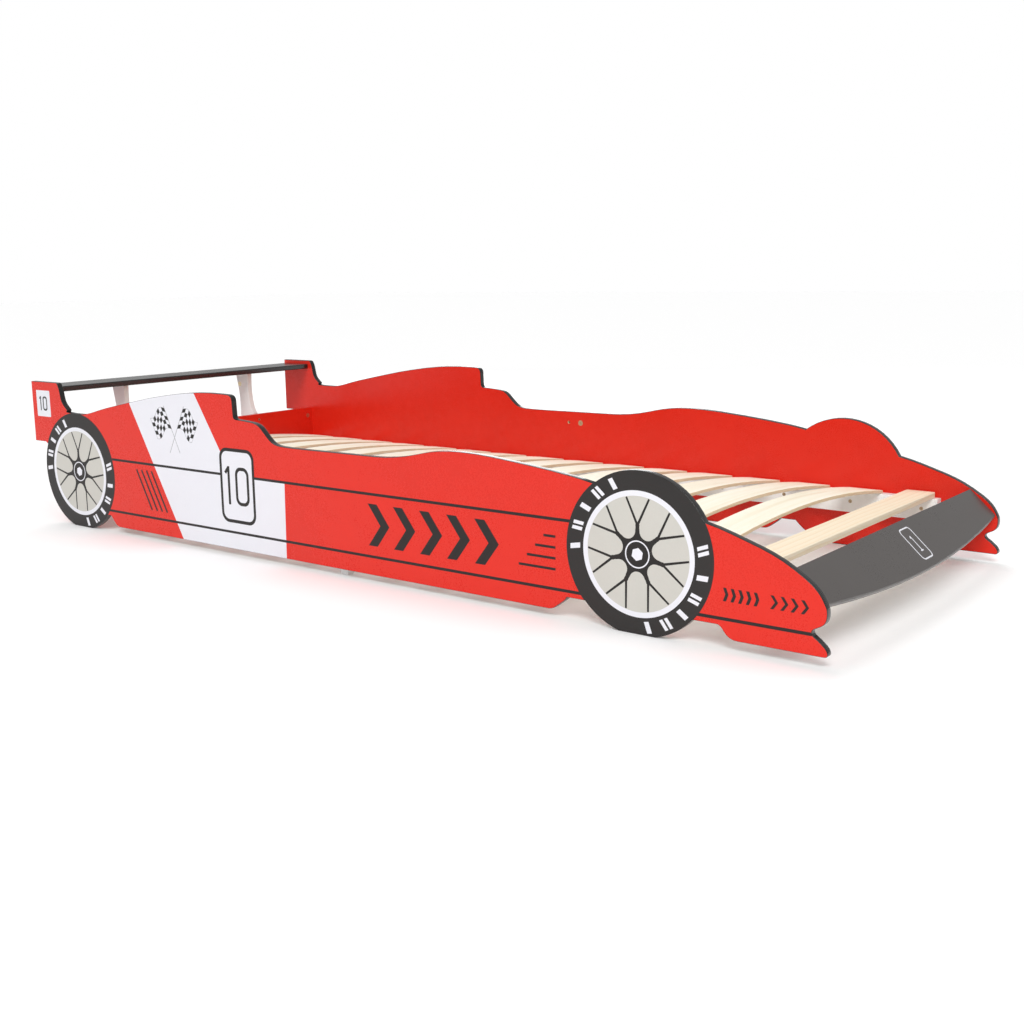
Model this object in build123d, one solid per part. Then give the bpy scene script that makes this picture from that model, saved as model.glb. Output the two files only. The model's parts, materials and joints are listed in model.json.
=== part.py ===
from build123d import *
import os
from math import cos, radians, sin, sqrt

# Children's bed shaped like a racing car, for one 900 x 2000 mattress.
# All sizes are in millimetres. X runs along the bed to the nose, Y across it, Z up.
# The outline of the side panels is drawn from the centre of the rear wheel,
# and every part is moved to the bed's own frame at the end: X and Y zero in the
# middle of the bed, Z zero on the floor.

# ---- driving dimensions -------------------------------------------------------
MATTRESS_WIDTH = 900
SIDE_CLEARANCE = 5                 # between the mattress and each side panel
BOARD = 15                         # thickness of every lacquered board
WHEELBASE = 1739
TYRE_R = 155
AXLE_HEIGHT = 150                  # wheel centre above the floor, so the tyre has a flat

FIN_REAR = -198                    # rear edge of the fins
FIN_TOP = 233
FIN_BOTTOM = 70
SKIRT_Z = -133                     # lower edge of the long skirt between the wheels

RAIL_TOP = -13
RAIL_HEIGHT = 51
RAIL_THICKNESS = 25
RAIL_ROUND = 2
RAIL_START = -75
RAIL_END = 1976

SLAT_COUNT = 15
SLAT_WIDTH = 82
SLAT_PITCH = 129.7
SLAT_FIRST = -12.5                 # middle of the first slat
SLAT_THICKNESS = 8
SLAT_LENGTH = 890
SLAT_CROWN = 34                    # rise of the middle above the ends
SLAT_SEAT = 1.5                    # trimmed flat off the underside at the ends
SLAT_ROUND = 1.5

CROSSBAR_START = 1899
CROSSBAR_WIDTH = 66
CROSSBAR_THICKNESS = 14
CROSSBAR_ROUND = 2

HEAD_FRONT = -75
HEAD_TOP = 81
HEAD_BOTTOM = -110
HEAD_ROUND = 1.5

SPOILER_FRONT = -87
SPOILER_REAR = -195
SPOILER_TOP = 222
SPOILER_ROUND = 3
STRUT_Y = 228

NOSE_X = 2040                      # rear top edge of the sloping nose board
NOSE_Z = 14
NOSE_ANGLE = 43                    # slope of the nose board, degrees
NOSE_SIDE = 80                     # length down the slope at the sides
NOSE_MIDDLE = 110                  # length down the slope in the middle
NOSE_ROUND = 4                     # radius of its front edge

LEG_X = 968
LEG_WIDTH = 30
LEG_TAPER_Z = -128                 # the foot tapers from here to the floor
FOOT_X = 20
FOOT_Y = 18

SCREW_COUNT = 12                   # along each rail
SCREW_PITCH = 168.5
SCREW_FIRST = 87
SCREW_HEAD_R = 4.5
SCREW_HEAD_HEIGHT = 3
SCREW_R = 2
RECESS_LENGTH = 4.6                # crossed recess in screw heads and cams
RECESS_WIDTH = 1.1
RECESS_DEPTH = 2
CAM_R = 7.5
CAM_DEPTH = 10
CAM_BOLT_R = 3
DOWEL_R = 4
SLAT_DOWEL_R = 3
HOLE_DEPTH = 10                    # of every blind hole in a side panel
FIXING_START = 20                  # bolts and dowels start this far inside a side panel
PIN_INSET = 17                     # slat and crossbar dowels, from a side panel
PIN_DEPTH = 14                     # how far those dowels go into the rail

HEAD_CAM_Z = (57, -70)
STRUT_SCREW_Z = (64, 22)
STRUT_CAM_X = -150
STRUT_CAM_DROP = 34                # below the underside of the spoiler
SPOILER_DOWEL_X = (-165, -115)
NOSE_DOWEL_ALONG = (18, 56)        # down the slope of the nose board
PANEL_CAM_X = 986
PANEL_HOLE_X = 947
PANEL_CAM_Z = 96

# ---- derived ------------------------------------------------------------------
INNER_Y = MATTRESS_WIDTH / 2 + SIDE_CLEARANCE
OUTER_Y = INNER_Y + BOARD
RAIL_Y = INNER_Y - RAIL_THICKNESS
STRUT_CAM_Z = SPOILER_TOP - BOARD - STRUT_CAM_DROP
FLOOR = -AXLE_HEIGHT
NOSE_FRONT = (NOSE_X + (NOSE_MIDDLE - NOSE_ROUND) * cos(radians(NOSE_ANGLE))
              + NOSE_ROUND * (1 - sin(radians(NOSE_ANGLE))))
MID_X = (FIN_REAR + NOSE_FRONT) / 2
SIDES = {"right": -1, "left": 1}   # seen by someone lying in the bed facing the nose


# ---- helpers ------------------------------------------------------------------
def box(x0, x1, y0, y1, z0, z1):
    size = (x1 - x0, abs(y1 - y0), z1 - z0)
    centre = ((x0 + x1) / 2, (y0 + y1) / 2, (z0 + z1) / 2)
    return Pos(*centre) * Box(*size)


def rod(start, end, radius):
    """A cylinder from one point to another."""
    line = Vector(*end) - Vector(*start)
    plane = Plane(origin=start, z_dir=line)
    return extrude(plane * Circle(radius), amount=line.length)


def long_edges(part, axis):
    """The edges that run the whole length of a board."""
    return part.edges().filter_by(axis).filter_by(lambda e: e.length > MATTRESS_WIDTH / 2)


def save(name, part):
    """Writes one named piece, moved to the bed's own frame."""
    placed = Pos(-MID_X, 0, AXLE_HEIGHT) * part
    placed.label = name
    export_step(placed, "parts/" + name + ".step")


# ---- outline of the side panels -----------------------------------------------
def upper_outline():
    """Rear edge, fin, haunch, low waist and front arch, up to the front tyre."""
    fin = [Line((-150, FIN_BOTTOM), (FIN_REAR, FIN_BOTTOM)),
           Line((FIN_REAR, FIN_BOTTOM), (FIN_REAR, FIN_TOP)),
           Line((FIN_REAR, FIN_TOP), (-84, FIN_TOP)),
           Spline((-84, FIN_TOP), (-74, 227), (-65, 200), (-54, 176), (-38, 161), (-14, 155),
                  tangents=[(1, 0), (1, -0.05)])]
    haunch = [Line((-14, 155), (34, 155)),
              Spline((34, 155), (108, 170.5), (179, 185.5), (325, 213), (425, 227.5),
                     (500, 234.5), (575, 236.5), (616, 235.5), tangents=[(1, 0.1), (1, -0.03)]),
              Spline((616, 235.5), (630, 232), (635.5, 219), tangents=[(1, -0.03), (0.02, -1)]),
              Line((635.5, 219), (637, 190)),
              Spline((637, 190), (640, 181), (648, 178.5), tangents=[(0.02, -1), (1, -0.03)])]
    waist = [Spline((648, 178.5), (690, 176), (720, 170.5), (747, 149), (770, 132),
                    (809, 126), (870, 125.5), tangents=[(1, -0.02), (1, 0)]),
             Line((870, 125.5), (1090, 127)),
             Spline((1090, 127), (1130, 129), (1177, 135), (1233, 147), (1276, 153.5),
                    (1325, 155.5), (1382, 153.5), (1440, 148.5), (1510, 141.5), (1600, 130),
                    (1643, 122), tangents=[(1, 0), (1, -0.2)]),
             Line((1643, 122), (1660, 60))]
    return fin + haunch + waist


def nose_outline():
    """From the front tyre over the nose, round the splitter and back under it."""
    return [Line((1660, 60), (1850, 60)),
            Line((1850, 60), (1874, 74.5)),
            Spline((1874, 74.5), (1907, 66.5), (1943, 55.5), (1981, 43), (2018, 28), (2052, 9),
                   (2075, -7), (2092, -25), (2101, -41), (2104, -55), tangents=[(1, -0.2), (0, -1)]),
            Spline((2104, -55), (2099, -72), (2083, -82), tangents=[(0, -1), (-1, -0.5)]),
            Spline((2083, -82), (2077.5, -89.5), (2083, -97), tangents=[(-1, -0.5), (1, -0.6)]),
            Spline((2083, -97), (2095, -106), (2106, -119), tangents=[(1, -0.6), (0.4, -1)]),
            Spline((2106, -119), (2106, -126), (2099, -128.5), tangents=[(0.4, -1), (-1, 0)]),
            Line((2099, -128.5), (1943, -128.5)),
            Spline((1943, -128.5), (1918, -118), (1903, -104), tangents=[(-1, 0), (-1, 0.3)]),
            Line((1903, -104), (1820, -104))]


def skirt_outline():
    """Along the bottom from the front tyre to the rear tyre and up to the fin."""
    return [Line((1820, -104), (1660, -60)),
            Line((1660, -60), (1640, -104)),
            Line((1640, -104), (1583, -104)),
            Spline((1583, -104), (1567, -119), (1538, SKIRT_Z), tangents=[(-0.5, -1), (-1, 0)]),
            Line((1538, SKIRT_Z), (166, SKIRT_Z)),
            Spline((166, SKIRT_Z), (144, -123), (128, -106), tangents=[(-1, 0), (-1, 0.8)]),
            Line((128, -106), (90, -106)),
            Line((90, -106), (-100, 40)),
            Line((-100, 40), (-150, FIN_BOTTOM))]


def tyre_face(x):
    """A tyre outline with the flat it stands on."""
    half = sqrt(TYRE_R ** 2 - AXLE_HEIGHT ** 2)
    arc = ThreePointArc((x - half, FLOOR), (x, TYRE_R), (x + half, FLOOR))
    return make_face(Curve() + [arc, Line((x + half, FLOOR), (x - half, FLOOR))])


def panel_blank(side):
    body = make_face(Curve() + upper_outline() + nose_outline() + skirt_outline())
    outline = body + tyre_face(0) + tyre_face(WHEELBASE)
    inner = Plane((0, side * INNER_Y, 0), x_dir=(1, 0, 0), z_dir=(0, -1, 0))
    return extrude(inner * outline, amount=-side * BOARD)


# ---- fixings ------------------------------------------------------------------
def screw_xs():
    return [SCREW_FIRST + SCREW_PITCH * i for i in range(SCREW_COUNT)]


def cross_recess(point, direction):
    plane = Plane(origin=point, z_dir=direction)
    cross = plane * (Rectangle(RECESS_LENGTH, RECESS_WIDTH) + Rectangle(RECESS_WIDTH, RECESS_LENGTH))
    return extrude(cross, amount=RECESS_DEPTH)


def screw(point, direction, length, recess=True):
    """A countersunk screw: the head's face is at the point, the shank goes along direction."""
    along = Vector(*direction).normalized()
    start = Vector(*point)
    neck = start + along * SCREW_HEAD_HEIGHT
    head = loft([Plane(start, z_dir=along) * Circle(SCREW_HEAD_R),
                 Plane(neck, z_dir=along) * Circle(SCREW_R)])
    body = head + rod(tuple(neck), tuple(start + along * length), SCREW_R)
    return body - cross_recess(point, direction) if recess else body


def rail_screw_list(side):
    z = RAIL_TOP - RAIL_HEIGHT / 2 + 1
    return [((x, side * RAIL_Y, z), (0, side, 0), RAIL_THICKNESS + HOLE_DEPTH) for x in screw_xs()]


def strut_screw_list():
    return [((HEAD_FRONT, side * STRUT_Y, z), (-1, 0, 0), BOARD + 22)
            for side in SIDES.values() for z in STRUT_SCREW_Z]


def screws(places, recess=True):
    return [screw(point, direction, length, recess) for point, direction, length in places]


def cam(point, direction, depth=CAM_DEPTH, slot=True):
    """A cam disc set in a board; the point is the middle of the face that shows."""
    along = Vector(*direction).normalized()
    disc = rod(point, tuple(Vector(*point) + along * depth), CAM_R)
    return disc - cross_recess(point, direction) if slot else disc


def head_cam_list(side):
    return [((HEAD_FRONT, side * (INNER_Y - FIXING_START), z), (-1, 0, 0)) for z in HEAD_CAM_Z]


def head_bolt_list(side):
    x = HEAD_FRONT - BOARD / 2
    return [((x, side * (INNER_Y - FIXING_START + CAM_R), z), (x, side * (INNER_Y + HOLE_DEPTH), z))
            for z in HEAD_CAM_Z]


def strut_cam_list(side):
    return [((STRUT_CAM_X, side * (STRUT_Y - BOARD / 2), STRUT_CAM_Z), (0, side, 0))]


def strut_bolt_list(side):
    top = SPOILER_TOP - BOARD + HOLE_DEPTH
    return [((STRUT_CAM_X, side * STRUT_Y, STRUT_CAM_Z + CAM_R), (STRUT_CAM_X, side * STRUT_Y, top))]


def spoiler_dowel_list(side):
    z = SPOILER_TOP - BOARD / 2
    return [((x, side * (INNER_Y - FIXING_START), z), (x, side * (INNER_Y + HOLE_DEPTH), z))
            for x in SPOILER_DOWEL_X]


def nose_point(along, depth, y):
    """A point on the sloping nose board: down the slope, and below its top face."""
    a = radians(NOSE_ANGLE)
    return (NOSE_X + along * cos(a) - depth * sin(a), y, NOSE_Z - along * sin(a) - depth * cos(a))


def nose_dowel_list(side):
    return [(nose_point(along, BOARD / 2, side * (INNER_Y - FIXING_START)),
             nose_point(along, BOARD / 2, side * (INNER_Y + HOLE_DEPTH))) for along in NOSE_DOWEL_ALONG]


def panel_dowel_holes(side):
    """The open dowel hole beside the middle cam."""
    return [((PANEL_HOLE_X, side * INNER_Y, PANEL_CAM_Z),
             (PANEL_HOLE_X, side * (INNER_Y + HOLE_DEPTH), PANEL_CAM_Z))]


def panel_cam_list(side):
    return [((PANEL_CAM_X, side * INNER_Y, PANEL_CAM_Z), (0, side, 0))]


def slat_xs():
    return [SLAT_FIRST + SLAT_PITCH * i for i in range(SLAT_COUNT)]


def slat_dowels(x, side):
    y = side * (INNER_Y - PIN_INSET)
    return ((x, y, RAIL_TOP - PIN_DEPTH), (x, y, RAIL_TOP + SLAT_THICKNESS / 2))


def slat_dowel_list(side):
    return [slat_dowels(x, side) for x in slat_xs()]


def crossbar_dowel_list(side):
    y = side * (INNER_Y - PIN_INSET)
    inset = CROSSBAR_WIDTH / 4
    return [((x, y, RAIL_TOP - PIN_DEPTH), (x, y, RAIL_TOP + CROSSBAR_THICKNESS / 2))
            for x in (CROSSBAR_START + inset, CROSSBAR_START + CROSSBAR_WIDTH - inset)]


def leg_dowel_list(side):
    y = side * (INNER_Y - RAIL_THICKNESS / 2)
    z = RAIL_TOP - RAIL_HEIGHT
    return [((LEG_X, y, z - 20), (LEG_X, y, z + 15))]


def rods(pairs, radius):
    return [rod(start, end, radius) for start, end in pairs]


# ---- pieces -------------------------------------------------------------------
def side_panel(side):
    holes = (screws(rail_screw_list(side), False) + rods(head_bolt_list(side), CAM_BOLT_R)
             + rods(spoiler_dowel_list(side) + nose_dowel_list(side) + panel_dowel_holes(side), DOWEL_R)
             + [cam(*c, slot=False) for c in panel_cam_list(side)])
    return panel_blank(side) - holes


def headboard():
    board = box(HEAD_FRONT - BOARD, HEAD_FRONT, -INNER_Y, INNER_Y, HEAD_BOTTOM, HEAD_TOP)
    board = fillet(long_edges(board, Axis.Y), HEAD_ROUND)
    holes = screws(strut_screw_list(), False)
    for side in SIDES.values():
        holes += [cam(*c, slot=False) for c in head_cam_list(side)]
        holes += rods(head_bolt_list(side), CAM_BOLT_R)
    return board - holes


def nose_board():
    """Sloping board with a bowed front edge."""
    a = NOSE_ANGLE
    top = Plane(origin=(NOSE_X, 0, NOSE_Z), x_dir=(cos(radians(a)), 0, -sin(radians(a))),
                z_dir=(sin(radians(a)), 0, cos(radians(a))))
    bow = ThreePointArc((NOSE_SIDE, -INNER_Y), (NOSE_MIDDLE, 0), (NOSE_SIDE, INNER_Y))
    sides = Polyline((NOSE_SIDE, INNER_Y), (0, INNER_Y), (0, -INNER_Y), (NOSE_SIDE, -INNER_Y))
    board = extrude(top * make_face(Curve() + [bow, sides]), amount=-BOARD)
    front = board.edges().filter_by(GeomType.CIRCLE)
    board = fillet(front, NOSE_ROUND)
    return board - [r for s in SIDES.values() for r in rods(nose_dowel_list(s), DOWEL_R)]


def rear_spoiler():
    board = box(SPOILER_REAR, SPOILER_FRONT, -INNER_Y, INNER_Y, SPOILER_TOP - BOARD, SPOILER_TOP)
    board = fillet(long_edges(board, Axis.Y), SPOILER_ROUND)
    holes = []
    for side in SIDES.values():
        holes += rods(spoiler_dowel_list(side), DOWEL_R) + rods(strut_bolt_list(side), CAM_BOLT_R)
    return board - holes


def spoiler_strut(side):
    """Curved bracket between the headboard's back and the underside of the spoiler."""
    back, under = HEAD_FRONT - BOARD, SPOILER_TOP - BOARD
    outline = Curve() + [
        Line((-166, under), (-110, under)),
        Spline((-110, under), (-111, 165), (-106, 120), (back, 84), tangents=[(-0.1, -1), (1, -1)]),
        Line((back, 84), (back, 0)),
        Line((back, 0), (-132, 0)),
        Spline((-132, 0), (-149, 60), (-152, 130), (-166, under), tangents=[(-0.4, 1), (-0.2, 1)])]
    start = Plane((0, side * STRUT_Y + BOARD / 2, 0), x_dir=(1, 0, 0), z_dir=(0, -1, 0))
    strut = extrude(start * make_face(outline), amount=BOARD)
    holes = [cam(*c, slot=False) for c in strut_cam_list(side)] + rods(strut_bolt_list(side), CAM_BOLT_R)
    return strut - (holes + screws(strut_screw_list(), False))


def slat_rail(side):
    rail = box(RAIL_START, RAIL_END, side * RAIL_Y, side * INNER_Y, RAIL_TOP - RAIL_HEIGHT, RAIL_TOP)
    rail = fillet(long_edges(rail, Axis.X), RAIL_ROUND)
    holes = (screws(rail_screw_list(side), False)
             + rods(slat_dowel_list(side), SLAT_DOWEL_R)
             + rods(crossbar_dowel_list(side) + leg_dowel_list(side), DOWEL_R))
    return rail - holes


def slat(x):
    """Bent birch slat, crowned in the middle, with a flat seat on each rail."""
    half = SLAT_LENGTH / 2
    top_end = RAIL_TOP + SLAT_THICKNESS - SLAT_SEAT
    low_end = top_end - SLAT_THICKNESS
    start = Plane((x - SLAT_WIDTH / 2, 0, 0), x_dir=(0, 1, 0), z_dir=(1, 0, 0))
    band = Curve() + [
        ThreePointArc((-half, top_end), (0, top_end + SLAT_CROWN), (half, top_end)),
        Line((half, top_end), (half, low_end)),
        ThreePointArc((half, low_end), (0, low_end + SLAT_CROWN), (-half, low_end)),
        Line((-half, low_end), (-half, top_end))]
    strip = extrude(start * make_face(band), amount=SLAT_WIDTH)
    strip = fillet(strip.edges().filter_by(GeomType.CIRCLE), SLAT_ROUND)
    seat = box(x - SLAT_WIDTH, x + SLAT_WIDTH, -INNER_Y, INNER_Y, RAIL_TOP - RAIL_HEIGHT, RAIL_TOP)
    return strip - ([seat] + rods([slat_dowels(x, side) for side in SIDES.values()], SLAT_DOWEL_R))


def foot_crossbar():
    half = SLAT_LENGTH / 2
    bar = box(CROSSBAR_START, CROSSBAR_START + CROSSBAR_WIDTH, -half, half,
              RAIL_TOP, RAIL_TOP + CROSSBAR_THICKNESS)
    bar = fillet(long_edges(bar, Axis.Y), CROSSBAR_ROUND)
    return bar - [r for s in SIDES.values() for r in rods(crossbar_dowel_list(s), DOWEL_R)]


def support_leg(side):
    """Short post under the middle of a rail, tapered to a small foot."""
    top = RAIL_TOP - RAIL_HEIGHT
    y = side * (INNER_Y - RAIL_THICKNESS / 2)
    half = LEG_WIDTH / 2
    post = box(LEG_X - half, LEG_X + half, side * RAIL_Y, side * INNER_Y, LEG_TAPER_Z, top)
    foot = loft([Plane((LEG_X, y, LEG_TAPER_Z)) * Rectangle(LEG_WIDTH, RAIL_THICKNESS),
                 Plane((LEG_X, y, FLOOR)) * Rectangle(FOOT_X, FOOT_Y)])
    return post + foot - rods(leg_dowel_list(side), DOWEL_R)


# ---- build --------------------------------------------------------------------
def build_boards():
    for name, side in SIDES.items():
        save(name + "_side_panel", side_panel(side))
        save(name + "_slat_rail", slat_rail(side))
        save(name + "_spoiler_strut", spoiler_strut(side))
        save(name + "_support_leg", support_leg(side))
    save("headboard", headboard())
    save("nose_board", nose_board())
    save("rear_spoiler", rear_spoiler())
    save("foot_crossbar", foot_crossbar())
    for i, x in enumerate(slat_xs()):
        save("slat_{:02d}".format(i + 1), slat(x))


def build_fixings():
    sides = SIDES.values()
    groups = {
        "rail_screws": [s for d in sides for s in screws(rail_screw_list(d))],
        "strut_screws": screws(strut_screw_list()),
        "headboard_cams": [cam(*c) for d in sides for c in head_cam_list(d)],
        "headboard_cam_bolts": [r for d in sides for r in rods(head_bolt_list(d), CAM_BOLT_R)],
        "strut_cams": [cam(*c) for d in sides for c in strut_cam_list(d)],
        "strut_cam_bolts": [r for d in sides for r in rods(strut_bolt_list(d), CAM_BOLT_R)],
        "panel_cams": [cam(*c) for d in sides for c in panel_cam_list(d)],
        "spoiler_dowels": [r for d in sides for r in rods(spoiler_dowel_list(d), DOWEL_R)],
        "nose_dowels": [r for d in sides for r in rods(nose_dowel_list(d), DOWEL_R)],
        "slat_dowels": [r for d in sides for r in rods(slat_dowel_list(d), SLAT_DOWEL_R)],
        "crossbar_dowels": [r for d in sides for r in rods(crossbar_dowel_list(d), DOWEL_R)],
        "leg_dowels": [r for d in sides for r in rods(leg_dowel_list(d), DOWEL_R)],
    }
    for name, pieces in groups.items():
        save(name, Compound(children=pieces))


os.makedirs("parts", exist_ok=True)
build_boards()
build_fixings()
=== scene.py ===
import json
import math

import bmesh
import bpy
from mathutils import Matrix, Vector
from mathutils.geometry import delaunay_2d_cdt

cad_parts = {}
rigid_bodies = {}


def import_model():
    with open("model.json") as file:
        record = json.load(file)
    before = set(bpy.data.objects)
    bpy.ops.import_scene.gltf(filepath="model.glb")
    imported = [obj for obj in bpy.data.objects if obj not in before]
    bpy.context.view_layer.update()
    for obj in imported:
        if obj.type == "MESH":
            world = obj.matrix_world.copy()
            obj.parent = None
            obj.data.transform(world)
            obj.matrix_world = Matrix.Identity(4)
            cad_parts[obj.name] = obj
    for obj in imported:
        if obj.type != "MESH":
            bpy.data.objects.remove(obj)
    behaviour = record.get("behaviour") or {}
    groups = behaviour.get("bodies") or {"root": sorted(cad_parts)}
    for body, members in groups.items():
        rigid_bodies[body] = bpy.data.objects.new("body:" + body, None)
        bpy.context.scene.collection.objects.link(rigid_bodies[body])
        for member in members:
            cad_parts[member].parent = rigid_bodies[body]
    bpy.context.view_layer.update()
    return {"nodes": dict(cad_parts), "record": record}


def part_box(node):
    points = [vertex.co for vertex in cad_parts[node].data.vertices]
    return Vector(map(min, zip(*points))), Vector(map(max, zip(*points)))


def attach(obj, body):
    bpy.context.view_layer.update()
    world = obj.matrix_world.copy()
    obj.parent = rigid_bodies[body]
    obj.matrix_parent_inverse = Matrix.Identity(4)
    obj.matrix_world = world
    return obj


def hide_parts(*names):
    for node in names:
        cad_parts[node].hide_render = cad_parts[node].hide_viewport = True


# A children's bed shaped like a racing car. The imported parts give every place. The side
# panels are rebuilt from their CAD outline with softened black edges. The decoration on
# them and the mark on the nose board are thin printed films. The other boards, the slats
# and the fixings are the CAD parts themselves, with lacquer, wood and metal finishes.

for thing in list(bpy.data.objects):
    bpy.data.objects.remove(thing)

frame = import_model()

MM = 0.001
SIDES = {"right": -1, "left": 1}

# ---- side panels, in metres ------------------------------------------------------------
PAINT, EDGE, RAW = range(3)   # places of the materials on a panel board
OUTER_ROUND = 0.0008          # the print reaches almost to the outer edge
INNER_ROUND = 0.0012
ROUND_STEPS = 4
HOLE_DEPTH = 0.010
FILM = 0.00015                # thickness of the printed film
TOUCH = 1e-5                  # places nearer than this count as one
CROSSING = 1e-7               # the same where drawn loops cross
MITRE_LIMIT = 0.3             # keeps a mitre at a sharp corner short

# ---- slats, in metres ------------------------------------------------------------------
SLAT_CROWN = 0.034            # how far the middle of a slat stands above its ends
PLY = 0.0015                  # thickness of one veneer
PLY_ORIGIN = 2.0              # radius from which the veneers are counted
GLUE_START = 0.82             # share of a veneer where its glue line begins

# ---- finishes --------------------------------------------------------------------------
DARK_AT, LIGHT_AT = 0.3, 0.7  # most of a noise lies between these

# ---- decoration, in millimetres from the rear wheel's centre, x to the nose, z up ------
WHEELBASE = 1739
REAR_WHEEL = (0, 0)
FRONT_WHEEL = (WHEELBASE, 0)
AXLE_HEIGHT = 150
PANEL_TOP = 250               # above and below every part of the panel
PANEL_BOTTOM = -160

TYRE_R = 155
TYRE_OVERLAP = 1              # the tyre's colour runs a little past the board's edge
RIM_R = 118
DISC_R = 108
HUB_R = 31
HUB_RING = (26, 23.5)         # outer and inner radius of the white ring
NUT_R = 12.5
NUT_TURN = 20                 # degrees

SPOKES = 7
SPOKE_START = 90              # degrees, so that one spoke points up
WEB_R = 32                    # inner end of each opening between the spokes
WEB_OVERLAP = 4               # the web's colour runs on past where the openings meet the stems
STEM = 9                      # width of a spoke before it forks
STEM_TIP = 8                  # its width where it forks
FORK = (5, 4)                 # width of each branch at its root and its tip
SPOKE_SPLIT = 57
SPLIT_OVERLAP = 3             # the fork starts this far short of SPOKE_SPLIT
SPOKE_END = 107
SPOKE_SPREAD = 13             # degrees from the middle of a spoke to each of its tips

TYRE_MARK_R = 136
TYRE_MARK = (10, 22)          # width and height of one bar
TYRE_MARK_LEAN = 2            # each end's shift round the tyre
TYRE_MARK_PAIR = 5.5          # from the middle of a pair to each of its bars
TYRE_MARK_THIN = 0.7          # width of a bar of a pair, against a single one
TYRE_MARKS = [180, 163, 146, 129, 113, 10, -11, -29, -46, -63, -80]

UPPER_STRIPE_Z = 45
LOWER_STRIPE_Z = -92
STRIPE = 6
STRIPES = ((150, 1600, UPPER_STRIPE_Z), (120, 1622, LOWER_STRIPE_Z), (1862, 2078, LOWER_STRIPE_Z))

# the white flash: x of its rear edge at PANEL_TOP and PANEL_BOTTOM, x of its front edge at the
# upper stripe and at PANEL_BOTTOM, and x where it leaves the stripe, behind the plate
FLASH_REAR = (208, 443)
FLASH_FRONT = (804, 800)
FLASH_STEP = 620
FLASH_BEND = (584, 100)
FLASH_FRONT_TOP = 487

LOUVRES_X = (252, 273, 293, 313)   # upper ends
LOUVRE_Z = (28, -72)
LOUVRE_LEAN = 55              # from a louvre's upper end to its lower end, along x
LOUVRE = 5.5

PLATE = (580, 702, -69, 110)  # rear, front, bottom, top
PLATE_CORNERS = (25, 18)      # outside and inside its border
STICKER = (-178, -115, 139, 210)
STICKER_CORNER = 2
STICKER_DIGITS = 0.42         # size of its digits, against the plate's
DIGIT_STROKE = 8
SMALL_PEN = 0.7               # power of the size that the stroke follows
DIGIT_HALF = 46               # half the height of a digit, from the number's middle
ONE_X = -30
ONE_FLAG = ((-30, 43), (-42, 29))
NOUGHT_X = (-7, 41)
NOUGHT_CORNERS = (19, 12)

POLE = 2
# each pole's ends, then the flag's corner at the pole, its length and its drop
FLAGS = (((378, 197), (433, 83), (381, 191), (-60, -24), (25, -50)),
         ((457, 199), (394, 81), (454, 193), (56, -26), (-27, -50)))
FLAG_CELLS = (6, 5)           # along and down
FLAG_GAP = 0.015              # round each cell, as a share of it
FLAG_LINE = 1.2
FLAG_LINE_STEPS = 12
RIPPLE = 8
RIPPLE_TURN = 1.8             # half turns of the ripple along a flag

# start, end, middle z, count, height, thickness and gap of a row of chevrons
SIDE_CHEVRONS = (1064, 1432, -22, 5, 92, 26, 12)
NOSE_CHEVRONS = ((1913, 1986, -48, 5, 24, 6, 4), (2002, 2076, -48, 4, 24, 6, 4))

SPEED_LINES = 4
SPEED_LINE = 5
SPEED_START = (1469, -53)     # rear end of the lowest line
SPEED_STEP = (20, 21.3)       # to the rear end of the next
SPEED_END = 1557

# ---- points round a curve --------------------------------------------------------------
CORNER_STEPS = 8
CURVE_STEPS = 96
RIM_STEPS = 128
RING_STEPS = 64
LOBE_STEPS = 32
FORK_STEPS = 24

# ---- mark on the nose board, in millimetres down its slope and across ------------------
NOSE_ANGLE = 43
NOSE_MARK = (16, 92, -22, 32)  # top and foot of the box, then its right and left
NOSE_LINE = 3
NOSE_CORNER = 11
NOSE_DIGIT_GAP = 20           # from the box's ends to the digit
NOSE_FLAG = ((1, 0), (5, -5))  # ends of the digit's flag, from the digit's top
NOSE_SERIF = 6                # half the length of the bar under the digit
BOARD = 15                    # thickness of the nose board

# ---- studio ----------------------------------------------------------------------------
FLOOR_HALF = 30
FLOOR_WHITE = 0.9
FLOOR_DROP = 0.0005           # keeps the floor clear of the feet's lower faces
FLOOR_GLOW = 0.10             # makes up for the walls, which light the floor less than they show
WALL_LIGHT = 0.46             # how strongly the walls light the bed, where they show as 1
CAMERA_PLACE = (1.93424, -2.35020, 0.65862)
CAMERA_AZIMUTH = 38.35        # degrees, like the next two
CAMERA_ELEVATION = 10.35
CAMERA_ROLL = -0.858
CAMERA_LENS = 43.52
CAMERA_SHIFT = (0.01855, -0.01377)


def rear_wheel_x():
    """The rear wheel's centre in the shared frame, from the tyre flat it stands on."""
    mounts = {m["name"]: m for m in frame["record"]["mounts"]}
    return mounts["rear_right_tyre_flat"]["pos_m"][0]


WHEEL_X = rear_wheel_x()


# =======================================================================================
# Shader helpers
# =======================================================================================
def new_material(name):
    material = bpy.data.materials.new(name)
    material.use_nodes = True
    nodes = material.node_tree.nodes
    return material, nodes, material.node_tree.links, nodes["Principled BSDF"]


def object_place(nodes):
    return nodes.new("ShaderNodeTexCoord").outputs["Object"]


def stretched(nodes, links, scale):
    """Object coordinates scaled on each axis."""
    mapping = nodes.new("ShaderNodeMapping")
    mapping.inputs["Scale"].default_value = scale
    links.new(object_place(nodes), mapping.inputs["Vector"])
    return mapping.outputs["Vector"]


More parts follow.
